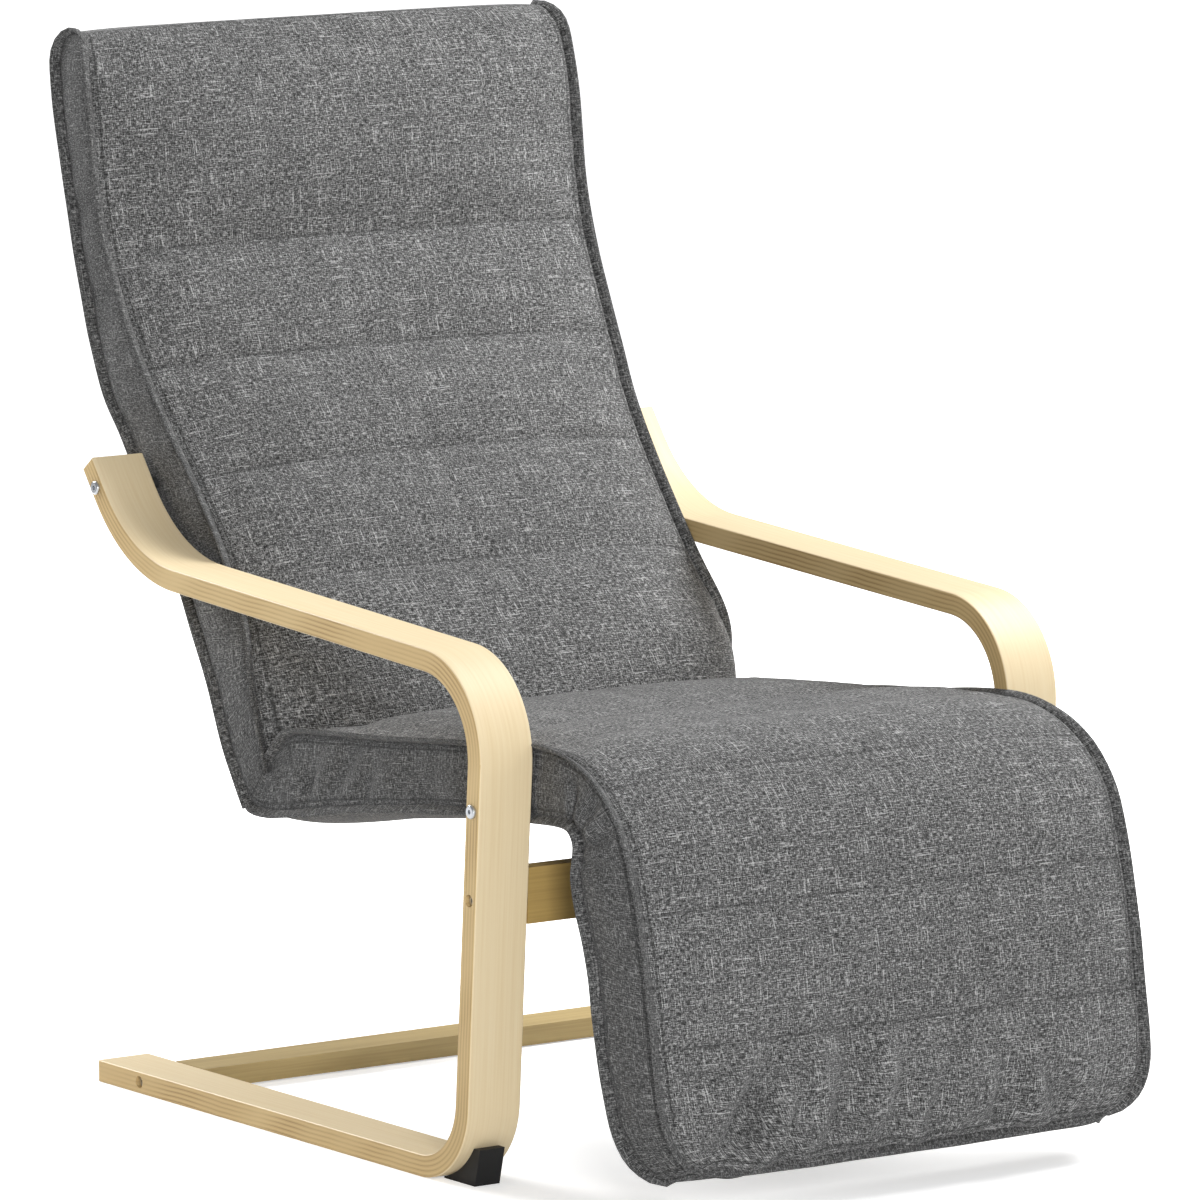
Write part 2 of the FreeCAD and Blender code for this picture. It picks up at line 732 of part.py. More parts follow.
add_pair("side_frame", side_frame())
add_pair("front_foot", front_foot())
add_pair("seat_back_rail", seat_back_rail())
add_pair("footrest_rail", footrest_rail())
add_pair("hinge_seat_arm", hinge_arm(-seat_forward, seat_arm_inside))
add_pair("hinge_footrest_arm", hinge_arm(footrest_down, footrest_arm_inside))
add_pair("hinge_pivot", hinge_pivot())
add_pair("hinge_friction_washer", hinge_friction_washer())
nodes["front_stretcher"] = front_stretcher()
nodes["rear_stretcher"] = rear_stretcher()
nodes["foot_screws"] = both_sides([screw(foot_screw_mouth, foot_screw_axis, foot_screw_length)])
nodes["rail_bolts"] = both_sides([rail_bolt(seat_bolt), rail_bolt(tail_bolt)])
nodes["rail_spacers"] = both_sides([spacer(seat_bolt), spacer(tail_bolt)])
nodes["stretcher_bolts"] = both_sides([
    stretcher_bolt(front_stretcher_bolt),
    stretcher_bolt(rear_stretcher_bolt)])
nodes["barrel_nuts"] = both_sides([
    barrel_nut(seat_bolt, rail_nut_x, seat_up),
    barrel_nut(tail_bolt, rail_nut_x, back_front),
    barrel_nut(front_stretcher_bolt, frame_inside - barrel_depth, Vector(0, -1, 0)),
    barrel_nut(rear_stretcher_bolt, frame_inside - barrel_depth, Vector(0, 0, 1))])
nodes["hinge_seat_screws"] = both_sides(arm_screws(-seat_forward, seat_arm_inside))
nodes["hinge_footrest_screws"] = both_sides(arm_screws(footrest_down, footrest_arm_inside))
nodes["slat_screws"] = slat_screw_group(upper_slats, rail_middle)
nodes["footrest_slat_screws"] = slat_screw_group(lower_slats, footrest_rail_middle)
for count, place in enumerate(back_slat_places, 1):
    nodes["back_slat_%d" % count] = slat_node(back_path, place, rail_outside, rail_middle)
for count, place in enumerate(seat_slat_places, 1):
    nodes["seat_slat_%d" % count] = slat_node(seat_path, place, rail_outside, rail_middle)
for count, place in enumerate(footrest_slat_places, 1):
    nodes["footrest_slat_%d" % count] = slat_node(footrest_path, place, footrest_rail_outside,
                                                  footrest_rail_middle)
nodes["back_cushion"] = back_cushion()
nodes["seat_cushion"] = seat_cushion()
nodes["front_edge_pad"] = front_edge_pad()
nodes["footrest_cushion"] = footrest_cushion()

# The origin is the middle of the chair's footprint box, on the floor
everything = Part.makeCompound(list(nodes.values()))
box = everything.optimalBoundingBox(False, False)
to_origin = Vector(0, -(box.YMin + box.YMax) / 2, 0)

os.makedirs("parts", exist_ok=True)
for name, shape in nodes.items():
    shape.translate(to_origin)
    shape.exportStep("parts/%s.step" % name)

print("nodes", len(nodes))
print("box", box.XLength, box.YLength, box.ZMin, box.ZMax)
print("shift", to_origin.y)
for label, place in (("hinge", hinge), ("seat bolt", seat_bolt), ("tail bolt", tail_bolt),
                     ("rail corner", rail_corner)):
    print(label, round(place.y + to_origin.y, 2), round(place.z, 2))
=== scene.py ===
import json
import math
import bpy
import numpy as np
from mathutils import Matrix, Quaternion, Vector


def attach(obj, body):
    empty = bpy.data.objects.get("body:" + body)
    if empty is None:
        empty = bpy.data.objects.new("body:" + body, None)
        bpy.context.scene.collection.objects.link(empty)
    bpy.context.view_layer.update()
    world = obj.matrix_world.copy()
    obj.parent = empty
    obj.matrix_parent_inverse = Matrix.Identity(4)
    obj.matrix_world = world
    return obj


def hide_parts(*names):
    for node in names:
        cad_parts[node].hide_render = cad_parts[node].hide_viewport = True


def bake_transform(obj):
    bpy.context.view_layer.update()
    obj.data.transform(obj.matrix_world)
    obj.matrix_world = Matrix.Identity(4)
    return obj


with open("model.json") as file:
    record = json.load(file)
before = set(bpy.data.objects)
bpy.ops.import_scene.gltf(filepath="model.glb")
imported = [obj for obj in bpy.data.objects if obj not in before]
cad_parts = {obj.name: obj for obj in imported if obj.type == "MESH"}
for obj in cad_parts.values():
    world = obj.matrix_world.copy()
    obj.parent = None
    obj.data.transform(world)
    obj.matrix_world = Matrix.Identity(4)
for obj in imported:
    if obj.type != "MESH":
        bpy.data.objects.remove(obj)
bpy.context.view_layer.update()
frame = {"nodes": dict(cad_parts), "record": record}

scene = bpy.context.scene
mm = 0.001
rng = np.random.default_rng(7)
farFromStitch = (1.0, 1.0)  # in the stitch map: no channel and no seam near


def smoothLine(points, count):
    # smooth line through points, sampled evenly between them
    pts = np.array(points, float)
    pad = np.vstack([2 * pts[0] - pts[1], pts, 2 * pts[-1] - pts[-2]])
    spans = len(pts) - 1
    t = np.linspace(0, spans, count)
    k = np.minimum(t.astype(int), spans - 1)
    f = (t - k)[:, None]
    p0, p1, p2, p3 = pad[k], pad[k + 1], pad[k + 2], pad[k + 3]
    return 0.5 * (2 * p1 + (p2 - p0) * f + (2 * p0 - 5 * p1 + 4 * p2 - p3) * f ** 2
                  + (3 * p1 - p0 - 3 * p2 + p3) * f ** 3)


def evenRows(stations, step):
    # one row every step along the middle of front and rear
    dense = smoothLine(stations, 1200)
    run = np.hypot(np.diff(dense[:, 0]), np.diff(dense[:, 1])) + np.hypot(np.diff(dense[:, 2]), np.diff(dense[:, 3]))
    along = np.concatenate([[0], np.cumsum(run / 2)])
    count = int(round(along[-1] / step)) + 1
    want = np.linspace(0, along[-1], count)
    return np.stack([np.interp(want, along, dense[:, c]) for c in range(dense.shape[1])], 1)


def turnRight(line):
    d = np.gradient(line, axis=0)
    d /= np.linalg.norm(d, axis=1)[:, None]
    return np.stack([d[:, 1], -d[:, 0]], 1)


def meshObject(name, verts, faces, maps):
    data = bpy.data.meshes.new(name)
    data.from_pydata([tuple(v) for v in verts], [], [tuple(f) for f in faces])
    for label, uvs in maps.items():
        layer = data.uv_layers.new(name=label)
        flat = np.array([corner for face in uvs for corner in face], np.float32)
        layer.data.foreach_set("uv", flat.ravel())
    for p in data.polygons:
        p.use_smooth = True
    piece = bpy.data.objects.new(name, data)
    scene.collection.objects.link(piece)
    return piece


def readPoints(data):
    co = np.zeros(len(data.vertices) * 3)
    data.vertices.foreach_get("co", co)
    return co.reshape(-1, 3)


def writePoints(data, co):
    data.vertices.foreach_set("co", np.asarray(co, np.float32).ravel())
    data.update()


# a sewn sleeve: front panel, two side bands, rear panel, one grid of rows and closed rings
class Sleeve:
    endRowStep = 0.009  # weave length of one row of a closed end

    def __init__(self, name, stations, channels, step=9.0, cols=60, band=8, rearPower=8.0):
        rows = evenRows(stations, step)
        self.rows = rows
        n = len(rows)
        self.n, self.cols, self.band = n, cols, band
        front, rear = rows[:, 0:2], rows[:, 2:4]
        outF, outR = turnRight(front), -turnRight(rear)
        u = np.linspace(-1, 1, cols + 1)
        swellRear = 1 - np.abs(u) ** rearPower
        ring = []
        for i in range(n):
            w, cf, cr, power, wider = rows[i, 4:9]
            swell = 1 - np.abs(u) ** power
            a = np.stack([u * w, front[i, 0] + outF[i, 0] * cf * swell,
                          front[i, 1] + outF[i, 1] * cf * swell], 1)
            b = np.stack([-u * w - np.maximum(u, 0) * wider, rear[i, 0] + outR[i, 0] * cr * swellRear,
                          rear[i, 1] + outR[i, 1] * cr * swellRear], 1)
            s = np.linspace(0, 1, band + 1)[1:-1, None]
            leftBand = a[-1] + (b[0] - a[-1]) * s
            rightBand = b[-1] + (a[0] - b[-1]) * s
            ring.append(np.vstack([a, leftBand, b, rightBand]))
        self.size = len(ring[0])
        self.verts = np.vstack(ring)
        self.faces, self.uvs, self.stitch = [], [], []
        self.along = np.concatenate([[0], np.cumsum(np.hypot(*np.diff(front, axis=0).T))]) * mm
        around = np.concatenate([[0], np.cumsum(np.linalg.norm(np.diff(ring[n // 2], axis=0), axis=1))]) * mm
        around = np.append(around, around[-1] + np.linalg.norm(ring[n // 2][0] - ring[n // 2][-1]) * mm)
        self.channelRows = [int(np.argmin(np.abs(front[:, 1] - z) + (0 if y is None else np.abs(front[:, 0] - y))))
                            for y, z in channels]
        # second map: distance to the nearest channel, distance to the nearest seam
        toChannel = np.abs(self.along[:, None] - self.along[self.channelRows][None]).min(1)
        toHem = self.along[-1] - self.along
        seams = around[[0, cols, cols + band, 2 * cols + band, self.size]]
        toSeam = np.abs(around[:, None] - seams[None]).min(1)
        for i in range(n - 1):
            for j in range(self.size):
                k = (j + 1) % self.size
                self.faces.append((self.at(i, j), self.at(i + 1, j), self.at(i + 1, k), self.at(i, k)))
                u0, u1, v0, v1 = around[j], around[j + 1], self.along[i], self.along[i + 1]
                self.uvs.append(((u0, v0), (u0, v1), (u1, v1), (u1, v0)))
                c0, c1 = (toChannel[i], toChannel[i + 1]) if j < cols else farFromStitch
                s0, s1 = toSeam[j], toSeam[j + 1]
                e0, e1 = toHem[i], toHem[i + 1]
                self.stitch.append(((c0, min(s0, e0)), (c1, min(s0, e1)), (c1, min(s1, e1)), (c0, min(s1, e0))))
        self.closeEnd(0, True)
        self.closeEnd(n - 1, False)
        self.outF, self.outR = outF, outR
        self.piece = meshObject(name, self.verts * mm, self.faces, {"weave": self.uvs, "stitch": self.stitch})

    def at(self, row, ringPlace):
        return row * self.size + ringPlace % self.size

    def closeEnd(self, row, first):
        # grid between the front edge and the rear edge of an end row
        cols, band = self.cols, self.band
        grid = np.zeros((band + 1, cols + 1), int)
        grid[0] = [self.at(row, j) for j in range(cols + 1)]
        grid[band] = [self.at(row, cols + band + (cols - j)) for j in range(cols + 1)]
        for s in range(1, band):
            grid[s, cols] = self.at(row, cols + s)
            grid[s, 0] = self.at(row, self.size - s)
            top, low = self.verts[grid[0, 1:cols]], self.verts[grid[band, 1:cols]]
            made = top + (low - top) * (s / band)
            start = len(self.verts)
            self.verts = np.vstack([self.verts, made])
            grid[s, 1:cols] = range(start, start + cols - 1)
        for s in range(band):
            for j in range(cols):
                quad = (grid[s, j], grid[s, j + 1], grid[s + 1, j + 1], grid[s + 1, j])
                self.faces.append(tuple(int(q) for q in (quad if first else quad[::-1])))
                self.uvs.append(tuple((self.verts[q][0] * mm, s * self.endRowStep) for q in self.faces[-1]))
                self.stitch.append((farFromStitch,) * 4)

    def ringIds(self, places):
        return [self.at(i, j) for i in range(self.n) for j in places]

    def seamIds(self):
        c, b = self.cols, self.band
        return self.ringIds([0, c, c + b, 2 * c + b])

    def pinned(self):
        c, b = self.cols, self.band
        keep = set(self.seamIds())
        keep |= set(self.ringIds(range(c + b, 2 * c + b + 1)))
        for row in self.channelRows:
            keep |= {self.at(row, j) for j in range(c + 1)}
        for row in (0, self.n - 1):
            keep |= {self.at(row, j) for j in range(self.size)}
        keep |= set(range(self.n * self.size, len(self.verts)))
        return keep


def inflate(sleeve, slack, loose, looseSlack, pressure=2.6, frames=18, cap=22.0):
    # cloth under light pressure, held at the seams and the sewn channels
    piece = sleeve.piece
    start = readPoints(piece.data)
    pins = piece.vertex_groups.new(name="held")
    pins.add(sorted(sleeve.pinned()), 1.0, "REPLACE")
    slackGroup = piece.vertex_groups.new(name="loose")
    for i, weight in enumerate(loose):
        slackGroup.add([sleeve.at(i, j) for j in range(sleeve.cols + 1)], weight, "REPLACE")
    cloth = piece.modifiers.new("cloth", "CLOTH")
    s = cloth.settings
    s.quality = 5
    s.mass = 0.25
    s.tension_stiffness = 30
    s.compression_stiffness = 30
    s.shear_stiffness = 8
    s.bending_stiffness = 0.5
    s.air_damping = 3
    s.vertex_group_mass = "held"
    s.vertex_group_shrink = "loose"
    s.shrink_min = -slack
    s.shrink_max = -looseSlack
    s.use_pressure = True
    s.uniform_pressure_force = pressure
    s.effector_weights.gravity = 0
    cloth.collision_settings.use_collision = False
    for f in range(1, frames + 1):
        scene.frame_set(f)
    graph = bpy.context.evaluated_depsgraph_get()
    ended = readPoints(piece.evaluated_get(graph).data)
    scene.frame_set(1)
    piece.modifiers.remove(cloth)
    for g in list(piece.vertex_groups):
        piece.vertex_groups.remove(g)
    move = ended - start
    far = np.linalg.norm(move, axis=1)
    keep = np.minimum(1, cap * mm / np.maximum(far, 1e-9))
    writePoints(piece.data, start + move * keep[:, None])
    print("  cloth moved at most %.1f mm" % (far.max() / mm))


def subdivide(piece, levels=1):
    mod = piece.modifiers.new("finer", "SUBSURF")
    mod.levels = levels
    mod.render_levels = levels
    mod.uv_smooth = "NONE"
    graph = bpy.context.evaluated_depsgraph_get()
    made = bpy.data.meshes.new_from_object(piece.evaluated_get(graph))
    piece.modifiers.remove(mod)
    piece.data = made


def eased(values, passes):
    # each value drawn towards its neighbours, the two ends kept
    values = np.array(values, float)
    for _ in range(passes):
        values[1:-1] = (values[:-2] + values[1:-1] * 2 + values[2:]) / 4
    return values


# thick, root and lean in mm
flangeShape = {"thick": 3.0, "root": -4.0, "lean": 1.6, "ripple": 0.1, "wave": 0.8, "waves": 5, "weaveStep": 0.0035}


def flange(name, line, outward, width):
    # a sewn flange: a thin strip that stands out along a seam
    f = flangeShape
    line = np.array(line)
    outward = np.array(outward)
    n = len(line)
    step = np.diff(line, axis=0)
    step /= np.linalg.norm(step, axis=1)[:, None]
    tangent = eased(np.vstack([step[:1], step[:-1] + step[1:], step[-1:]]), 4)
    tangent /= np.linalg.norm(tangent, axis=1)[:, None]
    outward = outward - (outward * tangent).sum(1)[:, None] * tangent
    outward /= np.linalg.norm(outward, axis=1)[:, None]
    side = np.cross(tangent, outward)
    ripple = np.zeros(n)
    lean = np.zeros(n)
    for _ in range(f["waves"]):
        ripple += np.sin(np.arange(n) * rng.uniform(0.15, 0.7) + rng.uniform(0, 6)) / f["waves"]
        lean += np.sin(np.arange(n) * rng.uniform(0.1, 0.5) + rng.uniform(0, 6)) / f["waves"]
    half = f["thick"] / 2
    # out as a share of the width, apart from the root, which lies inside the cushion, and across in mm
    shape = [(f["root"], -half * 0.8), (0.35, -half), (0.8, -half), (1.0, -half * 0.45),
             (1.0, half * 0.45), (0.8, half), (0.35, half), (f["root"], half * 0.8)]
    verts = []
    for i in range(n):
        for out, across in shape:
            reach = out * (1 + f["ripple"] * ripple[i] * f["wave"]) * width[i] if out > 0 else out
            bend = lean[i] * f["wave"] * f["lean"] * max(out, 0)
            verts.append(line[i] + outward[i] * reach + side[i] * (across + bend))
    m = len(shape)
    faces = [(i * m + k, i * m + (k + 1) % m, (i + 1) * m + (k + 1) % m, (i + 1) * m + k)
             for i in range(n - 1) for k in range(m)]
    faces += [tuple(range(m))[::-1], tuple((n - 1) * m + k for k in range(m))]
    run = np.concatenate([[0], np.cumsum(np.linalg.norm(np.diff(line, axis=0), axis=1))]) * mm
    uvs = [tuple((k2 * f["weaveStep"], run[i2]) for i2, k2 in ((i, k), (i, k + 1), (i + 1, k + 1), (i + 1, k)))
           for i in range(n - 1) for k in range(m)]
    uvs += [((0.0, 0.0),) * m] * 2
    plain = [(farFromStitch,) * len(face) for face in faces]
    return meshObject(name, np.array(verts) * mm, faces, {"weave": uvs, "stitch": plain})


flangeLean = {"sideways": 0.9, "front": 0.5, "rear": 0.7, "endRows": 6}


def sideFlanges(sleeve, label, cover, turnFirst):
    # one flange round each side band: up its front edge, over the closed end, down its rear edge
    c, b, n = sleeve.cols, sleeve.band, sleeve.n
    co = readPoints(sleeve.piece.data) / mm
    rows = list(range(n))
    toEnd = rows[::-1] if turnFirst else rows
    end, inner = toEnd[-1], toEnd[-1 - flangeLean["endRows"]]
    tip = (sleeve.outF[end] + sleeve.outR[end]) * 0.5
    beyond = sleeve.rows[end, 0:2] + sleeve.rows[end, 2:4]
    beyond = beyond - sleeve.rows[inner, 0:2] - sleeve.rows[inner, 2:4]
    beyond /= np.linalg.norm(beyond)
    made = []
    for tag, front, rear, side, over in (("r", 0, 2 * c + b, -1, [sleeve.size - s for s in range(1, b)]),
                                         ("l", c, c + b, 1, [c + s for s in range(1, b)])):
        sideways = side * flangeLean["sideways"]
        line = [co[sleeve.at(i, front)] for i in toEnd]
        out = [(sideways, *(sleeve.outF[i] * flangeLean["front"])) for i in toEnd]
        line += [co[sleeve.at(end, j)] for j in over]
        out += [(sideways, *((tip + beyond) * flangeLean["rear"])) for j in over]
        line += [co[sleeve.at(i, rear)] for i in toEnd[::-1]]
        out += [(sideways, *(sleeve.outR[i] * flangeLean["rear"])) for i in toEnd[::-1]]
        reach = np.full(len(line), float(cover["flangeWidth"]))
        reach[n - 1:n + b] = cover["flangeWidth"] * cover["flangeOverEnd"]
        made.append(flange(label + "_" + tag, line, eased(out, 8), eased(reach, 4)))
    return made


# stations in mm: y z of the front, y z of the rear, half width, front crown, rear crown, power of the front crown,
# and how much wider the rear is on the right
print("back cover")
backCover = {
    "stations": [
        (494.4, 1024, 510.4, 1024, 274, 4, 3, 4, 0), (480.4, 1018, 520.4, 1017, 278, 5, 3, 4, 0),
        (471.4, 1004, 524.4, 1000, 282, 7, 4, 4, 0), (464.4, 977, 518.4, 973, 284, 9, 5, 3.4, 0),
        (457.4, 942, 510.4, 934, 285, 11, 6, 3.2, 0), (452.4, 900, 499.4, 888, 285, 12, 7, 3, 0),
        (445.4, 860, 490.4, 846, 284, 13, 8, 3, 0), (434.4, 820, 480.4, 805, 283, 14, 9, 3, 0),
        (417.4, 778, 470.4, 764, 281, 15, 10, 3, 0), (394.4, 733, 459.4, 722, 279, 16, 11, 3, 0),
        (367.4, 687, 444.4, 674, 275, 18, 12, 3, 0), (339.4, 643, 419.4, 634, 270, 20, 12, 3, 0),
        (304.4, 597, 382.4, 578, 266, 23, 12, 3, 0), (258.4, 538, 339.4, 515, 265, 27, 12, 3.4, 0),
        (212.4, 470, 298.4, 458, 268, 34, 12, 5, 0), (199.4, 433, 264.4, 409, 272, 62, 12, 8, 0),
        (190.4, 398, 237.4, 352, 273, 84, 10, 10, 0), (182.4, 362, 219.4, 318, 271, 104, 8, 10, 0),
        (175.4, 330, 207.4, 293, 268, 118, 6, 10, 0)],
    "channels": [(None, 816), (None, 703), (None, 597), (None, 500)],
    "slack": 0.009, "looseSlack": 0.016, "looseFrom": 470, "looseFull": 380,
    "flangeWidth": 9.0, "flangeOverEnd": 0.55,
    "push": 13.0, "pushHeight": 425, "pushSpread": 45, "pushFrom": 180, "pushRun": 85,
}
back = Sleeve("cover_back", backCover["stations"], backCover["channels"])

print("seat and footrest cover")
seatCover = {
    "stations": [
        (179.4, 337, 215.4, 303, 267, 26, 8, 4, 0), (163.4, 352, 201.4, 292, 267, 14, 13, 3, 0),
        (148.4, 367, 172.4, 291, 266, 4, 18, 2.6, 0), (129.4, 375, 141.4, 296, 266, 0, 20, 2.6, 0),
        (97.4, 378, 106.4, 302, 265, -2, 20, 2.6, 0), (59.4, 381, 59.4, 311, 265, 1, 20, 2.6, 0),
        (19.4, 384, 19.4, 317, 264, 5, 20, 2.6, 0), (-40.6, 389, -30.6, 324, 264, 6, 20, 2.8, 0),
        (-97.6, 395, -100.6, 333, 265, 7, 19, 3, 0), (-177.6, 403, -180.6, 342, 267, 8, 17, 3.4, 0),
        (-240.6, 410, -245.6, 347, 269, 9, 15, 4, 0), (-292.6, 414, -295.6, 350, 270, 10, 12, 4, 0),
        (-325.6, 413, -325.6, 352, 271, 11, 8, 4, 0), (-353.6, 408, -342.6, 352, 272, 12, 5, 4, 0),
        (-382.6, 398, -354.6, 349, 274, 13, 4, 4, 0), (-409.6, 382, -363.6, 342, 276, 13, 4, 4, 0),
        (-430.6, 362, -367.6, 333, 277, 13, 4, 4, 0), (-445.6, 339, -367.6, 320, 278, 13, 4, 4, 0),
        (-456.6, 309, -365.6, 303, 278, 12, 4, 4, 0), (-465.6, 277, -372.6, 275, 278, 12, 4, 4, 0),
        (-473.6, 243, -384.6, 246, 278, 12, 4, 4, 0), (-479.6, 212, -394.6, 214, 278, 12, 4, 4, 0),
        (-484.6, 182, -399.6, 180, 278, 12, 4, 4, 0), (-490.6, 145, -407.6, 140, 278, 12, 4, 4, 0),
        (-495.6, 114, -416.6, 106, 277, 11, 4, 4, 0), (-499.6, 88, -428.6, 76, 274, 9, 4, 4, 3),
        (-501.6, 66, -445.6, 54, 264, 7, 4, 4, 11), (-500.6, 50, -470.6, 39, 246, 4, 3, 4, 24),
        (-498.6, 45, -482.6, 35, 234, 3, 3, 4, 28)],
    "channels": [(118, 376), (-168, 403), (-293, 413), (-404, 386), (-464, 281), (-488, 163)],
    "slack": 0.010, "looseSlack": 0.034, "looseFrom": 190, "looseFull": 110,
    "flangeWidth": 8.5, "flangeOverEnd": 0.1, "hemTaper": 7.0, "hemOut": (0.0, -0.55, -0.85),
}
seat = Sleeve("cover_seat_footrest", seatCover["stations"], seatCover["channels"])


def looseRows(sleeve, cover):
    # rows that hang slacker towards the cover's lower end
    z = sleeve.rows[:, 1]
    weight = np.clip((cover["looseFrom"] - z) / (cover["looseFrom"] - cover["looseFull"]), 0, 1)
    return [float(w) for w in weight]


for sleeve, cover in ((back, backCover), (seat, seatCover)):
    inflate(sleeve, cover["slack"], looseRows(sleeve, cover), cover["looseSlack"])

# the back's lower left corner is pushed out a little beside the seat
low = readPoints(back.piece.data) / mm
nearHeight = np.exp(-((low[:, 2] - backCover["pushHeight"]) / backCover["pushSpread"]) ** 2)
nearSide = np.clip((low[:, 0] - backCover["pushFrom"]) / backCover["pushRun"], 0, 1) ** 2
low[:, 0] += backCover["push"] * nearHeight * nearSide
writePoints(back.piece.data, low * mm)

print("flanges and hem")
backFlanges = sideFlanges(back, "back_flange", backCover, True)
seatFlanges = sideFlanges(seat, "seat_flange", seatCover, False)

hemLine = readPoints(seat.piece.data)[[seat.at(seat.n - 1, j) for j in range(seat.cols + 1)]] / mm
hemOut = np.tile(np.array(seatCover["hemOut"]), (len(hemLine), 1))
toCorner = np.abs(np.linspace(-1, 1, len(hemLine))) ** 20
hem = flange("footrest_hem", hemLine, hemOut, seatCover["flangeWidth"] - seatCover["hemTaper"] * toCorner)
seatFlanges.append(hem)

subdivide(back.piece)
subdivide(seat.piece)

# shares of a fold's depth, width and length
foldShape = {"ridge": 0.55, "ridgeAt": 1.9, "fadeIn": 0.3, "fadeOut": 0.8}


def fold(piece, ends, width, depth):
    # a soft valley with a low ridge on either side, between two places on the cloth
    co = readPoints(piece.data) / mm
    normal = np.zeros(len(co) * 3)
    piece.data.vertices.foreach_get("normal", normal)
    normal = normal.reshape(-1, 3)
    spots = []
    for x, y, z in ends:
        off = sum((co[:, k] - want) ** 2 for k, want in enumerate((x, y, z)) if want is not None)
        onPanel = normal[:, 0] < -0.6 if x is None else normal[:, 1] < -0.3  # right side band, or front
        off = off + np.where(onPanel, 0, 1e6)
        spots.append(co[int(np.argmin(off))])
    a, b = spots
    run = b - a
    share = np.clip(((co - a) @ run) / (run @ run), 0, 1)
    d = np.linalg.norm(co - a - share[:, None] * run, axis=1)
    quarter = np.pi / 2
    fade = np.sin(quarter * np.minimum(1, share / foldShape["fadeIn"]))
    fade = fade * np.cos(quarter * share) ** foldShape["fadeOut"]
    ridge = foldShape["ridge"] * np.exp(-((d - foldShape["ridgeAt"] * width) / width) ** 2)
    rise = ridge - np.exp(-(d / width) ** 2)
    writePoints(piece.data, (co + normal * (rise * fade * depth)[:, None]) * mm)


print("puckers and gathers")
# puckers that rise from the footrest's hem, x z of both ends, width, depth
hemFolds = [
    ((-228, 54), (-128, 168), 18, 19.0), ((-200, 50), (-172, 130), 14, 13.0), ((-150, 50), (-126, 124), 14, 13.0),
    ((-90, 50), (-62, 186), 18, 18.0), ((-34, 50), (8, 154), 16, 16.0), ((18, 50), (46, 162), 15, 14.0),
    ((103, 50), (116, 126), 15, 13.0), ((188, 56), (150, 116), 16, 12.0)]
for (x0, z0), (x1, z1), width, depth in hemFolds:
    fold(seat.piece, ((x0, None, z0), (x1, None, z1)), width, depth)

# gathers in the right side band, y z of both ends, width, depth: under the seat's front, and slack along the seat
bandFolds = [
    ((-364, 340), (-398, 388), 7, 8.0), ((-366, 334), (-424, 356), 7, 8.0), ((-368, 322), (-432, 318), 7, 7.0),
    ((-352, 348), (-350, 394), 7, 6.0), ((70, 322), (30, 372), 9, 6.0), ((20, 326), (-20, 376), 9, 5.0),
    ((-40, 332), (-76, 380), 9, 5.0), ((120, 312), (84, 366), 9, 5.0)]
for (y0, z0), (y1, z1), width, depth in bandFolds:
    fold(seat.piece, ((None, y0, z0), (None, y1, z1)), width, depth)


def newMaterial(name):
    mat = bpy.data.materials.new(name)
    mat.use_nodes = True
    tree = mat.node_tree
    tree.nodes.clear()
    out = tree.nodes.new("ShaderNodeOutputMaterial")
    skin = tree.nodes.new("ShaderNodeBsdfPrincipled")
    tree.links.new(skin.outputs["BSDF"], out.inputs["Surface"])
    return mat, tree, skin


def node(tree, kind, **settings):
    made = tree.nodes.new(kind)
    for key, value in settings.items():
        setattr(made, key, value)
    return made


def calc(tree, operation, a, b=None):
    made = node(tree, "ShaderNodeMath", operation=operation)
    for place, value in enumerate((a, b)):
        if value is None:
            continue
        if isinstance(value, (int, float)):
            made.inputs[place].default_value = value
        else:
            tree.links.new(value, made.inputs[place])
    return made.outputs[0]


def ramp(tree, value, stops):
    made = node(tree, "ShaderNodeValToRGB")
    elements = made.color_ramp.elements
    while len(elements) < len(stops):
        elements.new(0.5)
    for element, (place, colour) in zip(elements, stops):
        element.position = place
        element.color = (*colour, 1.0)
    tree.links.new(value, made.inputs["Fac"])
    return made.outputs["Color"]


def blended(tree, factor, colour, other):
    mix = node(tree, "ShaderNodeMix", data_type="RGBA")
    tree.links.new(factor, mix.inputs["Factor"])
    tree.links.new(colour, mix.inputs["A"])
    if isinstance(other, tuple):
        mix.inputs["B"].default_value = (*other, 1)
    else:
        tree.links.new(other, mix.inputs["B"])
    return mix.outputs["Result"]


def streaks(tree, uv, across, along, detail=2.0):
    spread = node(tree, "ShaderNodeMapping")
    spread.inputs["Scale"].default_value = (across, along, 1.0)
    tree.links.new(uv, spread.inputs["Vector"])
    noise = node(tree, "ShaderNodeTexNoise")
    noise.inputs["Scale"].default_value = 1.0
    noise.inputs["Detail"].default_value = detail
    noise.inputs["Roughness"].default_value = 0.6
    tree.links.new(spread.outputs["Vector"], noise.inputs["Vector"])
    return noise.outputs["Fac"]


def band01(tree, value, full, gone):
    # one inside the first distance, falling to nought at the second
    fade = node(tree, "ShaderNodeMapRange", interpolation_type="SMOOTHSTEP")
    fade.inputs["From Min"].default_value = full
    fade.inputs["From Max"].default_value = gone
    fade.inputs["To Min"].default_value = 1.0
    fade.inputs["To Max"].default_value = 0.0
    tree.links.new(value, fade.inputs["Value"])
    return fade.outputs["Result"]


def grey(level):
    return (level, level, level)


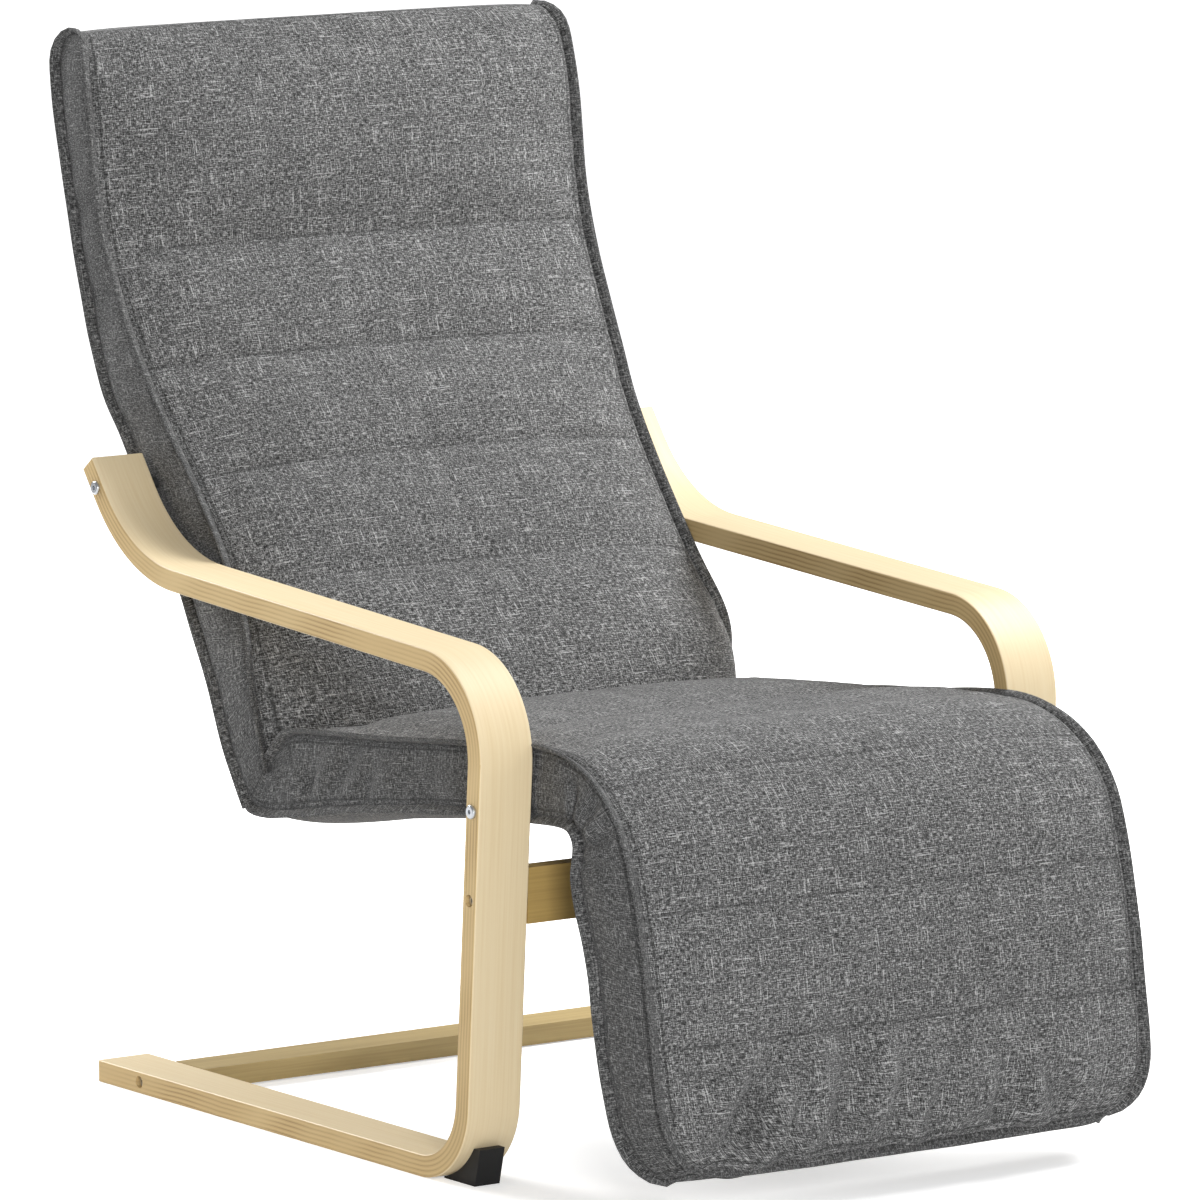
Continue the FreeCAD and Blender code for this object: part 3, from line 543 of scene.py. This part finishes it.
# thread scales are noise cells per metre, across and along; distances are in metres
linen = {
    "warp": (1000.0, 230.0), "warpShare": 0.33, "weft": (190.0, 1050.0), "weftShare": 0.37,
    "grain": (1400.0, 1400.0), "grainShare": 0.30,
    "slubWarp": (820.0, 34.0), "slubWeft": (28.0, 840.0), "slubFrom": 0.62, "slubShare": 0.45,
    "cloud": (14.0, 14.0), "cloudShare": 0.025,
    "tones": [(0.40, grey(0.012)), (0.47, grey(0.060)), (0.53, grey(0.130)), (0.63, (0.45, 0.45, 0.446))],
    "patchTones": [(0.35, grey(0.25)), (0.6, grey(1.0))], "patches": (18.0, 18.0),
    "channelLine": (0.0004, 0.0022), "channelShare": 0.75, "channelDip": (0.0, 0.009), "channelDepth": 2.2,
    "topstitchAt": 0.0075, "topstitchLine": (0.0004, 0.0018), "topstitchShare": 0.75,
    # the last three keys set the painted shade on side bands and flanges: where it starts, how strong it is, its
    # tone
    "sewnShare": 0.72, "sewnTone": 0.022, "shadedBandFrom": 0.9, "bandShadeShare": 0.4, "bandShadeTone": 0.035,
    "bumpStrength": 0.4, "bumpDepth": 0.0014,
}


def linenFabric():
    mat, tree, skin = newMaterial("cover_fabric")
    s = linen
    uv = node(tree, "ShaderNodeUVMap", uv_map="weave").outputs["UV"]
    warp = calc(tree, "MULTIPLY", streaks(tree, uv, *s["warp"], 1.0), s["warpShare"])
    weft = calc(tree, "MULTIPLY", streaks(tree, uv, *s["weft"], 1.0), s["weftShare"])
    grain = calc(tree, "MULTIPLY", streaks(tree, uv, *s["grain"], 1.0), s["grainShare"])
    # a few thick threads stand out
    slubs = calc(tree, "MAXIMUM", streaks(tree, uv, *s["slubWarp"], 0.0), streaks(tree, uv, *s["slubWeft"], 0.0))
    slubs = calc(tree, "MAXIMUM", calc(tree, "SUBTRACT", slubs, s["slubFrom"]), 0.0)
    slubs = calc(tree, "MULTIPLY", slubs, s["slubShare"])
    cloud = calc(tree, "SUBTRACT", streaks(tree, uv, *s["cloud"]), 0.5)
    cloud = calc(tree, "MULTIPLY", cloud, s["cloudShare"])
    threads = calc(tree, "ADD", calc(tree, "ADD", warp, weft), slubs)
    mixed = calc(tree, "ADD", calc(tree, "ADD", grain, threads), cloud)
    colour = ramp(tree, mixed, s["tones"])
    # sewn lines: the quilting channels, and a topstitch beside every flange
    stitch = node(tree, "ShaderNodeSeparateXYZ")
    tree.links.new(node(tree, "ShaderNodeUVMap", uv_map="stitch").outputs["UV"], stitch.inputs["Vector"])
    toChannel, toSeam = stitch.outputs["X"], stitch.outputs["Y"]
    patchy = ramp(tree, streaks(tree, uv, *s["patches"]), s["patchTones"])
    patchy = calc(tree, "MULTIPLY", patchy, s["channelShare"])
    channel = calc(tree, "MULTIPLY", band01(tree, toChannel, *s["channelLine"]), patchy)
    beside = calc(tree, "ABSOLUTE", calc(tree, "SUBTRACT", toSeam, s["topstitchAt"]))
    topstitch = calc(tree, "MULTIPLY", band01(tree, beside, *s["topstitchLine"]), s["topstitchShare"])
    sewn = calc(tree, "MULTIPLY", calc(tree, "MAXIMUM", channel, topstitch), s["sewnShare"])
    colour = blended(tree, sewn, colour, grey(s["sewnTone"]))
    # painted shade: side bands, flanges, rear panel and closed ends are drawn darker and calmer than the front
    # panel, colour standing in for the shade they lie in
    bandShadeMask = calc(tree, "MULTIPLY", calc(tree, "GREATER_THAN", toChannel, s["shadedBandFrom"]), s["bandShadeShare"])
    tree.links.new(blended(tree, bandShadeMask, colour, grey(s["bandShadeTone"])), skin.inputs["Base Color"])
    skin.inputs["Roughness"].default_value = 0.9
    skin.inputs["Specular IOR Level"].default_value = 0.15
    skin.inputs["Sheen Weight"].default_value = 0.08
    skin.inputs["Sheen Roughness"].default_value = 0.5
    bump = node(tree, "ShaderNodeBump")
    bump.inputs["Strength"].default_value = s["bumpStrength"]
    bump.inputs["Distance"].default_value = s["bumpDepth"]
    dip = calc(tree, "MULTIPLY", band01(tree, toChannel, *s["channelDip"]), s["channelDepth"])
    tree.links.new(calc(tree, "SUBTRACT", mixed, dip), bump.inputs["Height"])
    tree.links.new(bump.outputs["Normal"], skin.inputs["Normal"])
    return mat


def plainMaterial(name, colour, roughness, metallic=0.0):
    mat, tree, skin = newMaterial(name)
    skin.inputs["Base Color"].default_value = (*colour, 1.0)
    skin.inputs["Roughness"].default_value = roughness
    skin.inputs["Metallic"].default_value = metallic
    return mat


def sideView(tree):
    place = node(tree, "ShaderNodeSeparateXYZ")
    tree.links.new(node(tree, "ShaderNodeTexCoord").outputs["Object"], place.inputs["Vector"])
    return place.outputs["X"], place.outputs["Y"], place.outputs["Z"]


def along(tree, y, z, point, direction):
    # how far a place lies beyond a point, in a direction of the side view
    dy = calc(tree, "MULTIPLY", calc(tree, "SUBTRACT", y, point[0]), direction[0])
    dz = calc(tree, "MULTIPLY", calc(tree, "SUBTRACT", z, point[1]), direction[1])
    return calc(tree, "ADD", dy, dz)


def away(tree, y, z, point):
    # how far a place lies from a point of the side view
    dy = calc(tree, "POWER", calc(tree, "ABSOLUTE", calc(tree, "SUBTRACT", y, point[0])), 2.0)
    dz = calc(tree, "POWER", calc(tree, "ABSOLUTE", calc(tree, "SUBTRACT", z, point[1])), 2.0)
    return calc(tree, "SQRT", calc(tree, "ADD", dy, dz))


def pick(tree, test, yes, no):
    # the first value where the test is above nought, or else the second
    mask = calc(tree, "GREATER_THAN", test, 0.0)
    return calc(tree, "ADD", no, calc(tree, "MULTIPLY", mask, calc(tree, "SUBTRACT", yes, no)))


# bent strip in the side view, y z in metres: depth under its outer skin picks veneer or edge
strip = {
    "heel": (-0.1828, 0.0820), "heelRadius": 0.082, "bend": (-0.1908, 0.4044), "bendRadius": 0.0976,
    "tail": (0.2320, 0.6893), "tailRadius": 0.164, "leg": (-0.2590, 0.0), "arm": (-0.2954, 0.4965),
    "tailStart": (0.3163, 0.5296), "legWay": (-0.0732, 0.9973), "armWay": (0.9985, 0.0541),
    "tailWay": (0.6088, 0.7934),
    "thick": 0.0215, "plyPitch": 0.0046, "plyWander": 1.2, "edgeFull": 0.0098, "edgeGone": 0.0104,
    "faceTones": [(0.30, (0.75, 0.60, 0.365)), (0.52, (0.785, 0.645, 0.415)), (0.72, (0.80, 0.67, 0.445))],
    "plyTones": [(0.0, (0.17, 0.09, 0.03)), (0.10, (0.44, 0.30, 0.125)), (0.5, (0.61, 0.45, 0.22)),
                 (0.92, (0.47, 0.32, 0.14))],
    "coreTones": [(0.40, (0.58, 0.42, 0.20)), (0.60, (0.65, 0.49, 0.25))],
    "patchTones": [(0.38, grey(0.15)), (0.62, grey(1.0))],
}


def bentBirch():
    mat, tree, skin = newMaterial("birch_plywood")
    x, y, z = sideView(tree)
    s = strip

    def inside(point, way):
        return along(tree, y, z, point, (way[1], -way[0]))

    legs = pick(tree, along(tree, y, z, s["heel"], s["legWay"]), inside(s["leg"], s["legWay"]),
                pick(tree, calc(tree, "SUBTRACT", y, s["heel"][0]), z,
                     calc(tree, "SUBTRACT", s["heelRadius"], away(tree, y, z, s["heel"]))))
    bent = pick(tree, along(tree, y, z, s["bend"], s["legWay"]),
                calc(tree, "SUBTRACT", s["bendRadius"], away(tree, y, z, s["bend"])), legs)
    aboveSeat = calc(tree, "SUBTRACT", z, s["bend"][1])
    arm = pick(tree, calc(tree, "MINIMUM", along(tree, y, z, s["bend"], s["armWay"]), aboveSeat),
               inside(s["arm"], s["armWay"]), bent)
    swept = pick(tree, along(tree, y, z, s["tail"], s["armWay"]),
                 calc(tree, "SUBTRACT", away(tree, y, z, s["tail"]), s["tailRadius"]), arm)
    swept = pick(tree, aboveSeat, swept, arm)
    depth = pick(tree, along(tree, y, z, s["tail"], s["tailWay"]), inside(s["tailStart"], s["tailWay"]), swept)
    depth = pick(tree, aboveSeat, depth, legs)
    flat = node(tree, "ShaderNodeCombineXYZ")
    tree.links.new(x, flat.inputs["X"])
    tree.links.new(calc(tree, "ADD", y, z), flat.inputs["Y"])
    place = flat.outputs["Vector"]
    face = ramp(tree, streaks(tree, place, 330.0, 5.0, 3.0), s["faceTones"])
    # the edge shows its layers in some places and plain core in others
    wander = calc(tree, "MULTIPLY", streaks(tree, place, 20.0, 9.0, 2.0), s["plyWander"])
    level = calc(tree, "ADD", calc(tree, "MULTIPLY", depth, 1 / s["plyPitch"]), wander)
    plies = ramp(tree, calc(tree, "FRACT", level), s["plyTones"])
    core = ramp(tree, streaks(tree, place, 8.0, 3.0, 1.0), s["coreTones"])
    patches = ramp(tree, streaks(tree, place, 6.0, 7.0, 1.0), s["patchTones"])
    edge = blended(tree, patches, core, plies)
    fromMiddle = calc(tree, "ABSOLUTE", calc(tree, "SUBTRACT", depth, s["thick"] / 2))
    onEdge = band01(tree, fromMiddle, s["edgeFull"], s["edgeGone"])
    tree.links.new(blended(tree, onEdge, face, edge), skin.inputs["Base Color"])
    skin.inputs["Roughness"].default_value = 0.5
    skin.inputs["Specular IOR Level"].default_value = 0.35
    skin.inputs["Coat Weight"].default_value = 0.05
    skin.inputs["Coat Roughness"].default_value = 0.3
    return mat


def crossBirch(name, pale, dark):
    # boards whose grain runs across the chair
    mat, tree, skin = newMaterial(name)
    x, y, z = sideView(tree)
    flat = node(tree, "ShaderNodeCombineXYZ")
    tree.links.new(calc(tree, "ADD", y, z), flat.inputs["X"])
    tree.links.new(x, flat.inputs["Y"])
    grain = streaks(tree, flat.outputs["Vector"], 260.0, 5.0, 3.0)
    tree.links.new(ramp(tree, grain, [(0.32, dark), (0.66, pale)]), skin.inputs["Base Color"])
    skin.inputs["Roughness"].default_value = 0.5
    return mat


print("materials")
fabric = linenFabric()
materials = {
    "birch_plywood": bentBirch(),
    "inner_plywood": plainMaterial("inner_plywood", (0.70, 0.54, 0.34), 0.55),
    "slat_wood": crossBirch("slat_wood", (0.70, 0.54, 0.34), (0.60, 0.44, 0.25)),
    "foot_plastic": plainMaterial("foot_plastic", (0.006, 0.006, 0.0065), 0.6),
    "spacer_plastic": plainMaterial("spacer_plastic", (0.03, 0.03, 0.03), 0.5),
    "washer_plastic": plainMaterial("washer_plastic", (0.75, 0.75, 0.72), 0.5),
    "zinc_steel": plainMaterial("zinc_steel", (0.60, 0.62, 0.65), 0.28, 1.0),
    "hinge_steel": plainMaterial("hinge_steel", (0.48, 0.49, 0.51), 0.35, 1.0),
    "cover_fabric": fabric,
}
slotOf = {s["node"]: s["material_slot"] for s in frame["record"]["subparts"]}
# painted shade: both stretcher boards are toned darker and browner than the rest of the birch, colour standing in
# for the shade they sit in
boards = {
    "front_stretcher": crossBirch("front_board_painted_shade", (0.46, 0.31, 0.10), (0.38, 0.25, 0.08)),
    "rear_stretcher": crossBirch("rear_board_painted_shade", (0.46, 0.345, 0.15), (0.37, 0.265, 0.105)),
}
for name, piece in frame["nodes"].items():
    mat = boards.get(name) or materials[slotOf[name]]
    if not piece.data.materials:
        piece.data.materials.append(mat)
    for place in piece.material_slots:
        place.material = mat

for piece in [back.piece, seat.piece] + backFlanges + seatFlanges:
    piece.data.materials.clear()
    piece.data.materials.append(fabric)

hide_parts("back_cushion")
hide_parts("seat_cushion", "front_edge_pad", "footrest_cushion")

for piece in [back.piece] + backFlanges:
    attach(piece, "chair")
for piece in [seat.piece] + seatFlanges:
    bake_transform(piece)

print("stage, light and camera")
studio = {
    "floorHalf": 12, "floorTone": 0.92, "fill": 0.32,
    "glowFrom": 0.5, "glowTo": 1.6, "glowNear": 0.45, "glowFar": 1.0,
}
half = studio["floorHalf"]
floorMesh = bpy.data.meshes.new("floor")
floorMesh.from_pydata([(-half, -half, 0), (half, -half, 0), (half, half, 0), (-half, half, 0)], [], [(0, 1, 2, 3)])
floor = bpy.data.objects.new("floor", floorMesh)
scene.collection.objects.link(floor)
floorMat, floorTree, floorSkin = newMaterial("floor")
floorSkin.inputs["Base Color"].default_value = (*grey(studio["floorTone"]), 1)
floorSkin.inputs["Roughness"].default_value = 0.9
floorSkin.inputs["Emission Color"].default_value = (1, 1, 1, 1)
# the floor is white to the camera and takes a soft shadow near the chair
floorPlace = node(floorTree, "ShaderNodeTexCoord").outputs["Object"]
fromChair = node(floorTree, "ShaderNodeVectorMath", operation="LENGTH")
floorTree.links.new(floorPlace, fromChair.inputs[0])
glow = node(floorTree, "ShaderNodeMapRange")
glow.inputs["From Min"].default_value = studio["glowFrom"]
glow.inputs["From Max"].default_value = studio["glowTo"]
glow.inputs["To Min"].default_value = studio["glowNear"]
glow.inputs["To Max"].default_value = studio["glowFar"]
floorTree.links.new(fromChair.outputs["Value"], glow.inputs["Value"])
seenOnly = node(floorTree, "ShaderNodeLightPath").outputs["Is Camera Ray"]
glowSeen = calc(floorTree, "MULTIPLY", glow.outputs["Result"], seenOnly)
floorTree.links.new(glowSeen, floorSkin.inputs["Emission Strength"])
floorMesh.materials.append(floorMat)

# the world is white to the camera and only a weak fill to the chair
world = bpy.data.worlds.new("studio")
scene.world = world
world.use_nodes = True
sky = world.node_tree
sky.nodes.clear()
skyOut = sky.nodes.new("ShaderNodeOutputWorld")
seen = sky.nodes.new("ShaderNodeBackground")
seen.inputs["Color"].default_value = (1, 1, 1, 1)
seen.inputs["Strength"].default_value = 1.0
lit = sky.nodes.new("ShaderNodeBackground")
lit.inputs["Color"].default_value = (1, 1, 1, 1)
lit.inputs["Strength"].default_value = studio["fill"]
path = sky.nodes.new("ShaderNodeLightPath")
choose = sky.nodes.new("ShaderNodeMixShader")
sky.links.new(path.outputs["Is Camera Ray"], choose.inputs["Fac"])
sky.links.new(lit.outputs["Background"], choose.inputs[1])
sky.links.new(seen.outputs["Background"], choose.inputs[2])
sky.links.new(choose.outputs["Shader"], skyOut.inputs["Surface"])

lights = {
    "top": {"place": (1.9, -0.2, 2.3), "target": (0, 0, 0.4), "width": 1.6, "height": 1.6, "power": 92},
    "front": {"place": (-2.2, -4.3, 1.5), "target": (0, 0, 0.45), "width": 1.1, "height": 1.1, "power": 116},
    "rear": {"place": (-0.7, 2.8, 2.2), "target": (0, 0.2, 0.05), "width": 2.2, "height": 1.2, "power": 118},
}


def softLight(name, place, target, width, height, power):
    lamp = bpy.data.lights.new(name, "AREA")
    lamp.shape = "RECTANGLE"
    lamp.size = width
    lamp.size_y = height
    lamp.energy = power
    made = bpy.data.objects.new(name, lamp)
    made.location = place
    made.rotation_euler = (Vector(target) - Vector(place)).to_track_quat("-Z", "Y").to_euler()
    scene.collection.objects.link(made)


for name, light in lights.items():
    softLight(name, **light)

view = {
    "eye": (-5.2482, -7.5563, 1.8373), "aim": (-0.0523, -0.0836, 0.5100),
    "lens": 289.1, "shift": -0.0036, "roll": -0.24,
}
lens = bpy.data.cameras.new("view")
lens.sensor_width = 36.0
lens.lens = view["lens"]
lens.shift_x = view["shift"]
lens.clip_end = 60
camera = bpy.data.objects.new("view", lens)
camera.location = view["eye"]
turn = (Vector(view["aim"]) - Vector(view["eye"])).to_track_quat("-Z", "Y")
camera.rotation_mode = "QUATERNION"
camera.rotation_quaternion = turn @ Quaternion((0, 0, 1), math.radians(view["roll"]))
scene.collection.objects.link(camera)
scene.camera = camera
scene.view_settings.view_transform = "Standard"
